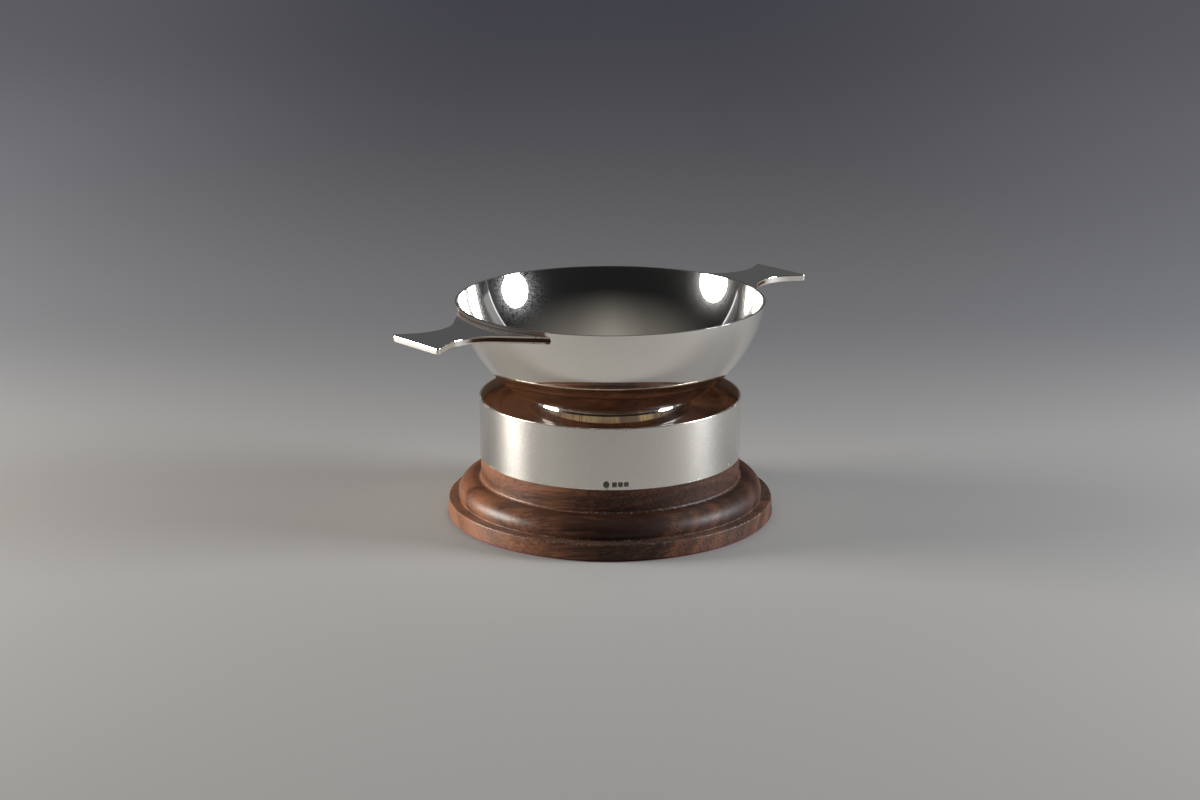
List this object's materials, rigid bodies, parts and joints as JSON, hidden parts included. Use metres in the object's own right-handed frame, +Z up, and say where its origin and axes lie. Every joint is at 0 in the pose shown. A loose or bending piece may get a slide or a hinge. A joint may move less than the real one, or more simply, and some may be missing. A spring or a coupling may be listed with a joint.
{
  "type": "quaich",
  "caption": "Shallow silver drinking bowl with flat waisted lugs and a low foot, standing loose on a turned wooden plinth with a plain silver band and a baize underside.",
  "frame": {"origin": "middle of the underside, on the ground", "axes": "+Z up along the axis of the bowl and the plinth, +X along the lugs"},
  "size_m": [0.219, 0.1494, 0.0995],
  "materials": {
    "silver": "polished silver",
    "wood": "dark red-brown, oiled and polished",
    "steel": "plain turned screw",
    "baize": "red baize"
  },
  "bodies": {
    "plinth": {"plinth_base": "wood", "plinth_drum": "wood", "silver_band": "silver", "band_pins": "silver", "drum_screws": "steel", "baize_pad": "baize"},
    "quaich": {"bowl": "silver", "lug_right": "silver", "lug_left": "silver", "foot_ring": "silver"}
  },
  "joints": [
    {"name": "quaich_lift", "type": "slide", "parent": "plinth", "child": "quaich", "axis": [0, 0, 1], "range_m": [0, 0.06]}
  ]
}
